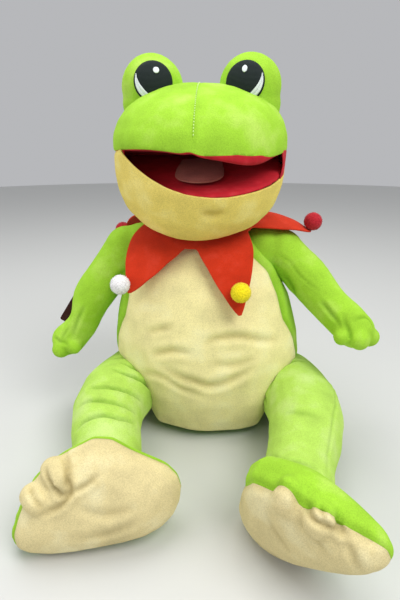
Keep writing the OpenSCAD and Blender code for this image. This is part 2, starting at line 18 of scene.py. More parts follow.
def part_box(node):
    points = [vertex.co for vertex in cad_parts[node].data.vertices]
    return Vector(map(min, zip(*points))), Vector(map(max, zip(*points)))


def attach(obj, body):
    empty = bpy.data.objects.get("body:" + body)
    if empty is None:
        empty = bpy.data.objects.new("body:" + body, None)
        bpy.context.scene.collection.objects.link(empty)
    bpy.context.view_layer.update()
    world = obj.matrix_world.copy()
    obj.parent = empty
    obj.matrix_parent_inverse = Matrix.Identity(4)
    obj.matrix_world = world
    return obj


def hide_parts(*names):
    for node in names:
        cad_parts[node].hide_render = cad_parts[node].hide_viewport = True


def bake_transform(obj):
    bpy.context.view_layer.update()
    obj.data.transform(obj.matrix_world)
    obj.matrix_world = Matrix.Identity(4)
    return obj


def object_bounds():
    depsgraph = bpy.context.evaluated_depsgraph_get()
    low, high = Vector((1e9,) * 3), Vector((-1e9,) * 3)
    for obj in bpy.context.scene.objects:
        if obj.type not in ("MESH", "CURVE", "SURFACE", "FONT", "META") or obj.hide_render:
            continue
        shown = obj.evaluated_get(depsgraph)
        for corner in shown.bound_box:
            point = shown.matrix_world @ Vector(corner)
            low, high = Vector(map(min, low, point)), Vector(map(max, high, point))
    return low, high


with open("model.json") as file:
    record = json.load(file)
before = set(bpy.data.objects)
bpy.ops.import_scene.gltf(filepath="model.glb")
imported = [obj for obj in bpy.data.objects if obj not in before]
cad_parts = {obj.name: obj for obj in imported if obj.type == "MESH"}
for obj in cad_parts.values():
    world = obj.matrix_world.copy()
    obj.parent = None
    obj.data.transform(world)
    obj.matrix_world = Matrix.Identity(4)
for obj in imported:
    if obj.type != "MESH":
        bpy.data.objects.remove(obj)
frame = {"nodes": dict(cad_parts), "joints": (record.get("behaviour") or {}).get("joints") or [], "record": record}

scene = bpy.context.scene
cad_low, cad_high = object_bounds()
LEFT, RIGHT = 1, -1
SIDES = {LEFT: "left", RIGHT: "right"}
MM = 0.001
joint = {j["name"]: j for j in frame["joints"]}
HINGE = np.array(joint["jaw_open"]["pos_m"])
NECK = np.array(joint["head_turn"]["pos_m"])
SHOULDER = {s: np.array(joint[f"arm_swing_{SIDES[s]}"]["pos_m"]) for s in SIDES}
HIP = {s: np.array(joint[f"leg_swing_{SIDES[s]}"]["pos_m"]) for s in SIDES}
MIDDLE_X = HINGE[0]


# ---- meshes
def linked(name, data):
    ob = bpy.data.objects.new(name, data)
    scene.collection.objects.link(ob)
    return ob


def new_object(name, verts, faces):
    mesh = bpy.data.meshes.new(name)
    mesh.from_pydata([tuple(v) for v in verts], [], [tuple(f) for f in faces])
    mesh.update()
    return linked(name, mesh)


def from_bmesh(name, bm):
    mesh = bpy.data.meshes.new(name)
    bm.to_mesh(mesh)
    bm.free()
    return linked(name, mesh)


def bmesh_of(*meshes):
    bm = bmesh.new()
    for mesh in meshes:
        bm.from_mesh(mesh)
    return bm


def put_back(bm, ob):
    bm.to_mesh(ob.data)
    bm.free()


def points(ob):
    co = np.empty(len(ob.data.vertices) * 3)
    ob.data.vertices.foreach_get("co", co)
    return co.reshape(-1, 3)


def set_points(ob, co):
    ob.data.vertices.foreach_set("co", np.asarray(co, float).ravel())
    ob.data.update()


def normals(ob):
    n = np.empty(len(ob.data.vertices) * 3)
    ob.data.vertex_normals.foreach_get("vector", n)
    return n.reshape(-1, 3)


def applied(ob):
    """The object with its modifiers applied."""
    graph = bpy.context.evaluated_depsgraph_get()
    mesh = bpy.data.meshes.new_from_object(ob.evaluated_get(graph))
    ob.modifiers.clear()
    old = ob.data
    ob.data = mesh
    bpy.data.meshes.remove(old)
    return ob


def remeshed(ob, voxel):
    modifier = ob.modifiers.new("remesh", "REMESH")
    modifier.mode = "VOXEL"
    modifier.voxel_size = voxel
    return applied(ob)


def relaxed(ob, times, share=0.5, back=-0.52):
    """Smooths facets and edges away; the step back keeps the volume."""
    co = points(ob)
    edges = np.empty(len(ob.data.edges) * 2, int)
    ob.data.edges.foreach_get("vertices", edges)
    a, b = edges.reshape(-1, 2).T
    n = len(co)
    degree = np.maximum(np.bincount(edges, minlength=n), 1)
    for _ in range(times):
        for step in (share, back):
            mean = np.stack([np.bincount(a, co[b, k], n) + np.bincount(b, co[a, k], n) for k in range(3)], 1)
            co = co + step * (mean / degree[:, None] - co)
    set_points(ob, co)
    return ob


def hull_of(name, nodes):
    """The convex hull of CAD nodes."""
    bm = bmesh_of(*(frame["nodes"][node].data for node in nodes))
    made = bmesh.ops.convex_hull(bm, input=bm.verts)
    inside = [g for g in made["geom_interior"] if isinstance(g, bmesh.types.BMVert)]
    bmesh.ops.delete(bm, geom=inside, context="VERTS")
    loose = [v for v in bm.verts if not v.link_faces]
    bmesh.ops.delete(bm, geom=loose, context="VERTS")
    return from_bmesh(name, bm)


def copy_of(name, nodes, balls=()):
    """Copies of CAD nodes, with extra balls (centre, radius), in one mesh."""
    bm = bmesh_of(*(frame["nodes"][node].data for node in nodes))
    for centre, radius in balls:
        at = Matrix.Translation(Vector(centre))
        bmesh.ops.create_icosphere(bm, subdivisions=3, radius=radius, matrix=at)
    return from_bmesh(name, bm)


def join(ob, other):
    put_back(bmesh_of(ob.data, other.data), ob)
    bpy.data.objects.remove(other)
    return ob


def bisected(bm, at, normal, **kept):
    geom = bm.verts[:] + bm.edges[:] + bm.faces[:]
    return bmesh.ops.bisect_plane(bm, geom=geom, plane_co=Vector(at), plane_no=Vector(normal), **kept)


def cut_flat(ob, at, normal):
    """Keeps the side of a plane that normal points away from, and closes the cut."""
    bm = bmesh_of(ob.data)
    made = bisected(bm, at, normal, clear_outer=True)
    edges = [g for g in made["geom_cut"] if isinstance(g, bmesh.types.BMEdge)]
    bmesh.ops.edgeloop_fill(bm, edges=edges)
    put_back(bm, ob)
    return ob


def spline(knots, count):
    """A smooth curve through a list of points, evenly sampled over its knots."""
    p = np.array(knots, float)
    last = len(p) - 1
    out = []
    for t in np.linspace(0, last, count):
        i = min(int(t), last - 1)
        u = t - i
        a, b, c, d = p[max(i - 1, 0)], p[i], p[i + 1], p[min(i + 2, last)]
        out.append(0.5 * (2 * b + (c - a) * u + (2 * a - 5 * b + 4 * c - d) * u ** 2
                          + (3 * b - a - 3 * c + d) * u ** 3))
    return np.array(out)


def unit(v):
    v = np.asarray(v, float)
    return v / np.linalg.norm(v)


def smoothstep(t):
    t = np.clip(t, 0, 1)
    return t * t * (3 - 2 * t)


def bell(far, width):
    """1 at no distance, falling away softly over a width."""
    return np.exp(-(far / width) ** 2)


def frames_along(path, hint=(0, 0, 1)):
    """Two crossing directions at each point of a path."""
    heading = np.gradient(np.asarray(path, float), axis=0)
    heading /= np.linalg.norm(heading, axis=1)[:, None]
    steep = abs(heading[0] @ unit(hint)) >= 0.95
    side = unit(np.cross(heading[0], (1, 0, 0) if steep else hint))
    sides = []
    for t in heading:
        side = unit(side - t * (side @ t))
        sides.append(side)
    return np.array(sides), np.cross(heading, np.array(sides))


def grid_faces(rows, columns, ring=False, closed=False):
    """Quads over points listed row by row; ring joins each row's ends, closed the last row to the first."""
    faces = []
    for i in range(rows if closed else rows - 1):
        here, above = i * columns, (i + 1) % rows * columns
        for j in range(columns if ring else columns - 1):
            beside = (j + 1) % columns
            faces.append((here + j, here + beside, above + beside, above + j))
    return faces


def grid(name, rows, columns, place, ring=False, closed=False):
    """A surface through place(row, column)."""
    verts = [place(i, j) for i in range(rows) for j in range(columns)]
    return new_object(name, verts, grid_faces(rows, columns, ring, closed))


def tube(name, path, radii, around=16, closed=False):
    """A round tube with closed ends, or a closed ring."""
    path = np.asarray(path, float)
    radii = np.broadcast_to(np.asarray(radii, float), (len(path),))
    u, v = frames_along(path)
    turns = np.linspace(0, 2 * pi, around, endpoint=False)
    verts = [c + r * (cos(t) * a + sin(t) * b)
             for c, r, a, b in zip(path, radii, u, v) for t in turns]
    rows = len(path)
    faces = grid_faces(rows, around, True, closed)
    if not closed:
        faces += [tuple(range(around))[::-1], tuple((rows - 1) * around + i for i in range(around))]
    return new_object(name, verts, faces)


def split(ob, name, field, positive):
    """The part of ob's surface where field(points) is above 0, or below it, cut exactly at 0."""
    bm = bmesh_of(ob.data)
    place = bm.verts.layers.float_vector.new("place")
    for v, value in zip(bm.verts, field(points(ob))):
        v[place] = v.co
        v.co.z = value
    bisected(bm, (0, 0, 0), (0, 0, 1), dist=1e-7, clear_outer=not positive, clear_inner=positive)
    for v in bm.verts:
        v.co = v[place]
    bm.verts.layers.float_vector.remove(place)
    bmesh.ops.dissolve_degenerate(bm, dist=2e-5, edges=bm.edges)
    return from_bmesh(name, bm)


def dropped(*obs):
    for ob in obs:
        mesh = ob.data
        bpy.data.objects.remove(ob)
        bpy.data.meshes.remove(mesh)


# ---- soft shaping
def near_path(co, path):
    """Distance of each point from a path, and how far along the path it is, from 0 to 1."""
    path = np.asarray(path, float)
    best = np.full(len(co), 1e9)
    where = np.zeros(len(co))
    count = len(path) - 1
    for i in range(count):
        a, d = path[i], path[i + 1] - path[i]
        t = np.clip((co - a) @ d / max(d @ d, 1e-12), 0, 1)
        far = np.linalg.norm(co - a - t[:, None] * d, axis=1)
        closer = far < best
        best[closer] = far[closer]
        where[closer] = (i + t[closer]) / count
    return best, where


def shaded(ob, amount):
    """Paints shade into the pile's colour, in folds and on panels turned away from the light."""
    # the fold attribute holds how much painted shade each point gets
    layer = ob.data.attributes.get("fold") or ob.data.attributes.new("fold", "FLOAT", "POINT")
    before = np.empty(len(ob.data.vertices))
    layer.data.foreach_get("value", before)
    layer.data.foreach_set("value", np.maximum(before, amount))


def surface_tree(ob):
    return BVHTree.FromPolygons([v.co for v in ob.data.vertices], [p.vertices[:] for p in ob.data.polygons])


def creased(ob, path, width, depth, shoulder=0.45, taper=True):
    """Presses a crease into the surface nearest a path: a groove with a soft rise each side."""
    co = points(ob)
    tree = surface_tree(ob)
    path = [tree.find_nearest(Vector(p))[0] for p in path]
    far, where = near_path(co, path)
    ends = np.sqrt(np.clip(np.sin(np.pi * np.clip(where, 0.02, 0.98)), 0, 1)) if taper else 1.0
    groove = -depth * bell(far, width) + shoulder * depth * bell(far - 2 * width, width)
    set_points(ob, co + normals(ob) * (groove * ends)[:, None])
    # painted shade along the crease, darkest at its middle and stronger for deeper creases
    shaded(ob, bell(far, 0.8 * width) * ends * min(1, depth / 0.0032))


def seamed(ob, field, width, depth, shoulder=0.3):
    """A sewn groove where field is 0."""
    co = points(ob)
    far = np.abs(field(co))
    groove = -depth * bell(far, width) + shoulder * depth * bell(far - 2.2 * width, width)
    set_points(ob, co + normals(ob) * groove[:, None])
    # painted shade along the seam's groove
    shaded(ob, bell(far, width) * min(1, depth / 0.0040))


def folded(ob, folds):
    """Creases along listed paths: each is points, width and depth in millimetres."""
    for path, width, depth in folds:
        creased(ob, spline(np.array(path) * MM, 24), width * MM, depth * MM)


def uneven(ob, size, height, seed):
    """Small random swells, as loose filling gives."""
    co = points(ob)
    shift = Vector((seed * 3.1, seed * 1.7, seed * 0.9))
    swell = np.array([noise.noise(Vector(p) / size + shift) for p in co])
    set_points(ob, co + normals(ob) * (height * swell)[:, None])


def softened(ob, voxel, times, *swells):
    """Remeshed and relaxed, then made uneven where swells gives size, height and seed."""
    relaxed(remeshed(ob, voxel), times)
    if swells:
        uneven(ob, *swells)
    return ob


def smooth(ob):
    ob.data.shade_smooth()
    return ob


def thickened(ob, thickness, offset=-1):
    """Gives a surface a cloth's thickness: under it, or half on each side at offset 0."""
    thick = ob.modifiers.new("cloth", "SOLIDIFY")
    thick.thickness = thickness
    thick.offset = offset
    return ob


def bevelled(ob, width):
    bevel = ob.modifiers.new("edge", "BEVEL")
    bevel.width = width
    bevel.segments = 2
    bevel.limit_method = "ANGLE"
    return ob


def subdivided(ob, levels=1):
    fine = ob.modifiers.new("fine", "SUBSURF")
    fine.levels = fine.render_levels = levels
    return ob


def shell(ob, thickness, levels=1):
    """Cloth of that thickness under the surface, finely subdivided."""
    return smooth(applied(thickened(subdivided(ob, levels), thickness)))


def finely(ob):
    return smooth(applied(subdivided(ob)))


# ---- materials
def darker(colour, share):
    return tuple(c * share for c in colour)


def lighter(colour, share):
    return tuple(min(1, c * share + 0.02) for c in colour)


class Look:
    """A material under construction: its nodes, placed by object coordinates."""

    def __init__(self, name, colour, rough, specular=0.3):
        self.made = bpy.data.materials.new(name)
        self.made.use_nodes = True
        self.nodes, self.links = self.made.node_tree.nodes, self.made.node_tree.links
        self.inputs = self.nodes["Principled BSDF"].inputs
        self.inputs["Base Color"].default_value = (*colour, 1)
        self.inputs["Roughness"].default_value = rough
        self.inputs["Specular IOR Level"].default_value = specular
        self.place = self.nodes.new("ShaderNodeTexCoord").outputs["Object"]

    def node(self, kind, values=(), wires=()):
        """A new node with input values and incoming links, each by the input's name."""
        made = self.nodes.new("ShaderNode" + kind)
        for name, value in dict(values).items():
            made.inputs[name].default_value = value
        for name, wire in dict(wires).items():
            self.links.new(wire, made.inputs[name])
        return made

    def noise(self, scale, detail=3, stretch=None):
        place = self.place
        if stretch:
            place = self.node("Mapping", {"Scale": stretch}, {"Vector": place}).outputs["Vector"]
        return self.node("TexNoise", {"Scale": scale, "Detail": detail}, {"Vector": place}).outputs["Fac"]

    def wave(self, direction, **values):
        made = self.node("TexWave", values, {"Vector": self.place})
        made.bands_direction = direction
        return made

    def ramp(self, value, *stops):
        made = self.node("ValToRGB", wires={"Fac": value})
        elements = made.color_ramp.elements
        while len(elements) < len(stops):
            elements.new(0.5)
        for element, (at, colour) in zip(elements, stops):
            element.position = at
            element.color = (*colour, 1)
        return made.outputs["Color"]

    def clouded(self, scale, detail, colour, dark):
        """A colour in soft clouds of darker and lighter."""
        return self.ramp(self.noise(scale, detail), (0.3, darker(colour, dark)), (0.55, colour),
                         (0.8, lighter(colour, 1.12)))

    def mix(self, kind, share, a, b):
        made = self.nodes.new("ShaderNodeMix")
        made.data_type = "RGBA"
        made.blend_type = kind
        made.inputs["Factor"].default_value = share
        self.links.new(a, made.inputs["A"])
        self.links.new(b, made.inputs["B"])
        return made.outputs["Result"]

    def bump(self, height, strength, distance, below=None):
        wires = {"Height": height, "Normal": below} if below else {"Height": height}
        return self.node("Bump", {"Strength": strength, "Distance": distance}, wires).outputs["Normal"]

    def finish(self, colour, normal, **sheen):
        """Plugs colour and bump into the shader and sets its sheen."""
        self.links.new(colour, self.inputs["Base Color"])
        self.links.new(normal, self.inputs["Normal"])
        for name, value in sheen.items():
            self.inputs["Sheen " + name].default_value = value
        return self.made


WHITE = (1.0, 1.0, 1.0)


def grey(value):
    return (value, value, value)


def plush(name, colour, pale, sheen=0.35):
    """Short-pile plush: brushed patches of paler pile, fine tufts, a soft sheen, and painted shade in folds and on
    panels turned away from the light.
    """
    look = Look(name, colour, 0.92, 0.12)
    patches = look.ramp(look.noise(28, 4), (0.30, darker(colour, 0.86)), (0.50, colour), (0.72, pale))
    tufts = look.ramp(look.noise(900), (0.30, grey(0.80)), (0.62, WHITE))
    # painted shade: the fold attribute darkens the colour towards a deeper tone in folds and on panels turned away
    fold = look.node("Attribute")
    fold.attribute_name = "fold"
    fold_shade_colour = tuple(0.34 + 0.3 * c for c in colour)
    shade = look.ramp(fold.outputs["Fac"], (0.0, WHITE), (1.0, fold_shade_colour))
    brushed = look.mix("MULTIPLY", 1.0, patches, tufts)
    pile = look.bump(look.noise(1300, 3, (1, 1, 0.45)), 0.35, 0.0008)
    nap = look.bump(look.noise(170), 0.18, 0.0012, pile)
    return look.finish(look.mix("MULTIPLY", 1.0, brushed, shade), nap,
                       Weight=sheen, Roughness=0.45, Tint=(*pale, 1))


def felt(name, colour):
    """Pressed wool felt: matted fibres and slight clouding."""
    look = Look(name, colour, 0.95, 0.1)
    cloud = look.clouded(45, 5, colour, 0.86)
    fibre = look.ramp(look.noise(1500, 4, (1, 0.25, 1)), (0.35, grey(0.82)), (0.6, WHITE))
    return look.finish(look.mix("MULTIPLY", 1.0, cloud, fibre), look.bump(look.noise(1100, 5), 0.3, 0.0005),
                       Weight=0.06, Roughness=0.6)


def woven(name, colour, rough=0.7, pitch=0.0006, sheen=0.1):
    """Plain woven or knitted cloth: crossing threads."""
    look = Look(name, colour, rough, 0.25)
    x, y, z = (look.wave(way, Scale=0.1 / pitch, Distortion=0.6).outputs["Color"] for way in "XYZ")
    weave = look.mix("MIX", 0.5, look.mix("MIX", 0.5, x, y), z)
    return look.finish(look.clouded(60, 4, colour, 0.82), look.bump(weave, 0.25, 0.0003), Weight=sheen)


def satin(name, colour, along, rough=0.38, shine=0.4):
    """Embroidery: close parallel threads with a satin shine."""
    look = Look(name, colour, rough, shine)
    wave = look.wave(along, Scale=260, Distortion=0.8, Detail=2).outputs["Fac"]
    threads = look.ramp(wave, (0.1, darker(colour, 0.75)), (0.9, lighter(colour, 1.25)))
    return look.finish(threads, look.bump(wave, 0.5, 0.0003))


def fluff(name, colour):
    """Pompom yarn."""
    look = Look(name, colour, 0.95, 0.1)
    yarn = look.ramp(look.noise(600, 4), (0.3, darker(colour, 0.72)), (0.62, lighter(colour, 1.08)))
    return look.finish(yarn, look.bump(look.noise(1400), 0.5, 0.0006), Weight=0.12)


LIME = (0.350, 0.640, 0.042)
LIME_PALE = (0.470, 0.710, 0.110)
# the legs wear a paler copy of the lime plush: painted sheen, standing in for light from above on the thighs
LEG_SHEEN = (0.450, 0.690, 0.110)
LEG_SHEEN_PALE = (0.550, 0.740, 0.220)
CREAM = (0.920, 0.820, 0.400)
CREAM_PALE = (0.960, 0.890, 0.500)
SOLE = (0.730, 0.620, 0.320)
SOLE_PALE = (0.840, 0.760, 0.450)
FELT = (0.600, 0.034, 0.008)
LINING = (0.470, 0.008, 0.018)
TONGUE = (0.420, 0.150, 0.110)

MATERIALS = {
    "lime_plush": plush("lime_plush_cloth", LIME, LIME_PALE),
    # paler leg plush: painted sheen
    "leg_plush": plush("leg_plush_cloth", LEG_SHEEN, LEG_SHEEN_PALE),
    "cream_plush": plush("cream_plush_cloth", CREAM, CREAM_PALE, 0.25),
    "sole_plush": plush("sole_plush_cloth", SOLE, SOLE_PALE, 0.15),
    # the seat's darker green is painted shade, for the underside in the shadow of the belly
    "seat_plush": plush("seat_plush_cloth", (0.20, 0.45, 0.04), LIME),
    "felt": felt("orange_felt", FELT),
    "mouth_lining": woven("red_lining", LINING, 0.75, 0.0007, 0.02),
    "tongue_cloth": felt("tongue_felt", TONGUE),
    "pompom_white": fluff("white_yarn", (0.86, 0.84, 0.84)),
    "pompom_yellow": fluff("yellow_yarn", (0.90, 0.74, 0.004)),
    "pompom_red": fluff("red_yarn", (0.48, 0.010, 0.022)),
    "pale_thread": woven("pale_green_thread", (0.62, 0.82, 0.30), 0.8),
    # the jaw's darker, more saturated copy of the cream plush is painted shade and bounced light under the head;
    # the cheek wears it too
    "jaw_plush": plush("jaw_plush_cloth", (0.830, 0.660, 0.165), (0.920, 0.790, 0.290), 0.12),
    "eye_black": satin("dark_thread", (0.006, 0.013, 0.012), "Z", 0.75, 0.12),
    "eye_white": satin("white_thread", (0.74, 0.79, 0.80), "X", 0.6, 0.2),
    "filling": woven("fibre_filling", (0.84, 0.84, 0.82), 0.95),
    "sleeve_cloth": woven("green_lining", (0.075, 0.27, 0.035), 0.75),
    "pocket_cloth": woven("grey_lining", (0.26, 0.32, 0.21), 0.8),
    "board": felt("grey_board", (0.34, 0.22, 0.11)),
    "tag_card": woven("maroon_card", (0.055, 0.010, 0.016), 0.35, 0.0004, 0.0),
    "tag_cord": satin("clear_cord", (0.70, 0.70, 0.72), "Z", 0.3),
}


def finished(ob, kind, body=None, nodes=()):
    """Gives a piece the material of its kind and, if given, its body, and hides the CAD nodes that it stands for.
    """
    ob.data.materials.clear()
    ob.data.materials.append(MATERIALS[kind])
    if body:
        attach(ob, body)
    if nodes:
        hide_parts(*nodes)
    return ob


# ---- torso
PLUSH_T, LINING_T, SLEEVE_T = 0.0022, 0.0013, 0.0010
SEAM_Y, SEAM_LEAN = -0.022, radians(8)   # where the cream front meets the green back
TUNNEL = np.array([(-14, 12, 292), (-14, 14, 266), (-12.6, 26, 236), (-9.8, 48, 200), (-8.4, 76, 164),
                   (-7, 112, 122), (-5.6, 150, 78)]) * MM
SLEEVE_RX, SLEEVE_RY = 0.0415, 0.0315


def side_seam(co):
    """Above 0 on the green back; the seam comes further forward above the thighs."""
    forward = 0.053 * np.clip((co[:, 2] - 0.060) / 0.110, 0, 1)
    return (co[:, 1] - SEAM_Y + forward) * cos(SEAM_LEAN) - co[:, 2] * sin(SEAM_LEAN)


def seat_seam(co):
    """Above 0 over the seat."""
    return co[:, 2] - 0.010


def tunnel_field(co, grow=0.0):
    """Above 0 outside the hand's tunnel; only for the torso's back."""
    path = spline(TUNNEL, 60)
    nearest = np.argmin(((co[:, None, :] - path[None]) ** 2).sum(2), axis=1)
    d = co - path[nearest]
    across = d[:, 0]
    depth = np.linalg.norm(d - np.outer(across, (1, 0, 0)), axis=1)
    ratio = np.hypot(across / (SLEEVE_RX + grow), depth / (SLEEVE_RY + grow))
    return np.where((co[:, 1] < 0.03) | (co[:, 2] > 0.24), 0.05, (ratio - 1) * SLEEVE_RY)


def torso():
    whole = hull_of("torso_form", ["belly_panel", "back_panel", "seat_panel", "torso_stuffing"])
    softened(whole, 0.004, 14, 0.035, 0.0014, 1)
    seamed(whole, side_seam, 0.0035, 0.0018)
    folded(whole, BELLY_FOLDS)
    panels = split(whole, "panels", seat_seam, True)
    seat = split(whole, "seat_underside", seat_seam, False)
    belly = split(panels, "belly_skin", side_seam, False)
    back = split(panels, "back_whole", side_seam, True)
    holed = split(back, "back_skin", lambda co: tunnel_field(co, 0.002), True)
    rim = boundary_path(holed, lambda p: p[1] > 0.03 and p[2] < 0.235 and abs(p[0] - TUNNEL[4][0]) < 0.06)
    dropped(whole, panels, back)
    finished(shell(belly, PLUSH_T), "cream_plush", "torso", nodes=["belly_panel", "torso_stuffing"])
    finished(shell(holed, PLUSH_T), "lime_plush", "torso", nodes=["back_panel"])
    finished(shell(seat, 0.002, 0), "seat_plush", "torso", nodes=["seat_panel"])
    binding = tube("opening_piping", rim, 0.0042, 12, closed=True)
    finished(smooth(binding), "sleeve_cloth", "torso", nodes=["opening_binding"])


BELLY_FOLDS = [
    ([(-76, -84, 160), (-60, -92, 168), (-45, -96, 173)], 4.5, 1.8),
    ([(-70, -94, 132), (-58, -98, 138), (-40, -103, 143), (-20, -106, 142)], 5, 2.6),
    ([(0, -104, 156), (14, -102, 162), (41, -96, 163), (67, -87, 155), (91, -70, 148)], 5, 2.6),
    ([(-58, -104, 118), (-38, -108, 108), (-20, -109, 104), (4, -109, 98), (30, -106, 105), (56, -98, 118)],
     5.5, 2.6),
    ([(-88, -84, 100), (-60, -98, 104), (-34, -106, 92), (-8, -108, 84)], 5, 2.0),
    ([(6, -108, 128), (34, -104, 126), (62, -94, 132)], 5, 1.6),
]


def boundary_path(ob, wanted):
    """The open edge of a surface whose points pass a test, as an ordered loop."""
    bm = bmesh_of(ob.data)
    edges = [e for e in bm.edges if e.is_boundary and all(wanted(v.co) for v in e.verts)]
    follow = {}
    for e in edges:
        for v in e.verts:
            follow.setdefault(v, []).append(e.other_vert(v))
    start = next(iter(follow))
    loop, last, here = [start], None, start
    while True:
        onward = [v for v in follow[here] if v is not last]
        if not onward or onward[0] is start or len(loop) > len(follow):
            break
        last, here = here, onward[0]
        loop.append(here)
    path = np.array([v.co for v in loop])
    bm.free()
    for _ in range(12):
        path = (np.roll(path, 1, 0) + path * 2 + np.roll(path, -1, 0)) / 4
    return path[::2]


def sleeve():
    """The hand's sleeve from the back opening up to the neck, slack between its ends."""
    path = spline(TUNNEL, 70)
    _, up = frames_along(path, (1, 0, 0))
    # the path runs on past the back's opening, and the cloth stops there
    rows = np.count_nonzero((path[:, 1] <= 0.092) | (path[:, 2] >= 0.15))
    around = 72

    def place(k, i):
        t = 2 * pi * i / around
        slack = 1 - 0.018 * sin(5 * t + k * 0.12) - 0.012 * sin(k * 0.55 + 2 * t)
        return path[k] + slack * (np.array((1, 0, 0)) * cos(t) * SLEEVE_RX - up[k] * sin(t) * SLEEVE_RY)

    ob = thickened(grid("sleeve_tube", rows, around, place, ring=True), SLEEVE_T, 0)
    finished(smooth(applied(ob)), "sleeve_cloth", "torso", nodes=["hand_sleeve"])


torso()
sleeve()


# ---- collar and pompoms
POINT_TURNS = [321, 25, 85, 134, 188, 244]   # degrees round from the front towards the puppet's left
POINT_HALF = 26
NOTCH_REACH, POINT_REACH = 0.27, 0.99
FELT_T = 0.0020
# the felt's run outwards from the neck, as radius and height
FELT_FRONT = np.array([(50, 284), (76, 267), (99, 245), (114, 211), (126, 168)]) * MM
FELT_SIDE = np.array([(50, 289.5), (78, 291), (104, 290), (130, 285), (153, 276)]) * MM
FELT_BACK = np.array([(48, 286), (66, 274), (84, 252), (96, 222), (104, 184)]) * MM


def felt_point(a, s):
    """A point of the felt at angle a degrees from the front, share s of its length."""
    c = cos(radians(a))
    flat = abs(sin(radians(a))) ** (2 if c > 0 else 5)
    line = FELT_FRONT if c > 0 else FELT_BACK
    k = min(max(4 * s, 0), 3.9999)
    i = int(k)
    low = line[i] * (1 - (k - i)) + line[i + 1] * (k - i)
    high = FELT_SIDE[i] * (1 - (k - i)) + FELT_SIDE[i + 1] * (k - i)
    r, z = low * (1 - flat) + high * flat
    return np.array((NECK[0] + r * sin(radians(a)), NECK[1] - r * c, z))


def felt_turn(a):
    """Degrees from the nearest of the collar's points."""
    return min(abs((a - b + 180) % 360 - 180) for b in POINT_TURNS)


def felt_reach(a):
    return NOTCH_REACH + (POINT_REACH - NOTCH_REACH) * max(1 - felt_turn(a) / POINT_HALF, 0)


def felt_lift(a, s):
    """Ripples that calm towards each point, the rise over the shoulders and the raised flap at the left."""
    calm = min(1, felt_turn(a) / 22)
    wave = 0.0022 * sin(radians(a * 7)) + 0.0016 * sin(radians(a * 11 + 40))
    ripple = calm * s * wave
    flap = 0.008 * bell(a - 103, 20) * sin(pi * min(max((s - 0.08) / 0.8, 0), 1))
    rise = 0.009 * sin(radians(a)) ** 4 * max(1 - s / 0.5, 0)
    return 0.0011 + ripple + rise + flap


def collar():
    """One cut ring of felt with six points, draped from the neck over chest, shoulders and back."""
    ribs, rows = 240, 26

    def place(i, j):
        a = i * 360 / ribs
        s = felt_reach(a) * j / rows
        return felt_point(a, s) + np.array((0, 0, felt_lift(a, s)))

    ob = grid("felt_collar", ribs, rows + 1, place, closed=True)
    relaxed(ob, 2, 0.3, 0)
    applied(bevelled(thickened(ob, FELT_T, 0), 0.0005))
    finished(smooth(ob), "felt", "torso", nodes=["collar_felt"])


def pompom(node, seed):
    """A clipped yarn ball: a core with several hundred short tufts."""
    low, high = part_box(node)
    centre = (low + high) / 2
    radius = max(high - low) / 2
    rng = random.Random(seed)
    bm = bmesh.new()
    bmesh.ops.create_icosphere(bm, subdivisions=4, radius=radius * 0.93, matrix=Matrix.Translation(centre))
    for v in bm.verts:
        n = (v.co - centre).normalized()
        v.co += n * (0.00055 * noise.noise(v.co * 900) + 0.0004 * noise.noise(v.co * 320))
    golden = pi * (3 - sqrt(5))
    count = 620
    for i in range(count):
        z = 1 - 2 * (i + 0.5) / count
        r = sqrt(1 - z * z)
        d = Vector((r * cos(golden * i), r * sin(golden * i), z))
        lean = Vector((rng.uniform(-1, 1), rng.uniform(-1, 1), rng.uniform(-1, 1))) * 0.35
        axis = (d + lean).normalized()
        root = centre + d * radius * 0.88
        tip = root + axis * radius * rng.uniform(0.10, 0.17)
        u = axis.orthogonal().normalized() * radius * 0.045
        w = axis.cross(u)
        ring = [bm.verts.new(root + u * cos(t) + w * sin(t)) for t in (0, 2.1, 4.2)]
        peak = bm.verts.new(tip)
        for k in range(3):
            bm.faces.new((ring[k], ring[(k + 1) % 3], peak))
        bm.faces.new(ring[::-1])
    kind = "pompom_" + node.split("_")[-1]
    finished(smooth(from_bmesh(node + "_yarn", bm)), kind, "torso", nodes=[node])


collar()
for seed, node in enumerate(n for n in frame["nodes"] if n.startswith("pompom")):
    pompom(node, seed)


# ---- head
PALATE = radians(4)
LIP = radians(18.5)
THROAT = radians(71)
# degrees below level about the hinge, seen from the side, where each skin starts or ends
PALATE_END, JAW_END, CHEEK_START, CHEEK_END = 36, 66, 50, 84
CHEEK_INSET = 0.0034


def ahead_of_hinge(co):
    return HINGE[1] - co[:, 1]


def above_palate(co):
    """Distance above the palate's plane."""
    return (co[:, 2] - HINGE[2]) * cos(PALATE) - ahead_of_hinge(co) * sin(PALATE)


def above_lip(co):
    """Distance above the lower lip's plane."""
    return (co[:, 2] - HINGE[2]) * cos(LIP) + ahead_of_hinge(co) * sin(LIP)


def sideways(co):
    """Place across the head, from -1 at its right cheek to 1 at its left."""
    return (co[:, 0] - MIDDLE_X) / 0.106


def below_level(co):
    """Angle below level about the hinge, seen from the side, in degrees."""
    return np.degrees(np.arctan2(HINGE[2] - co[:, 2], ahead_of_hinge(co)))


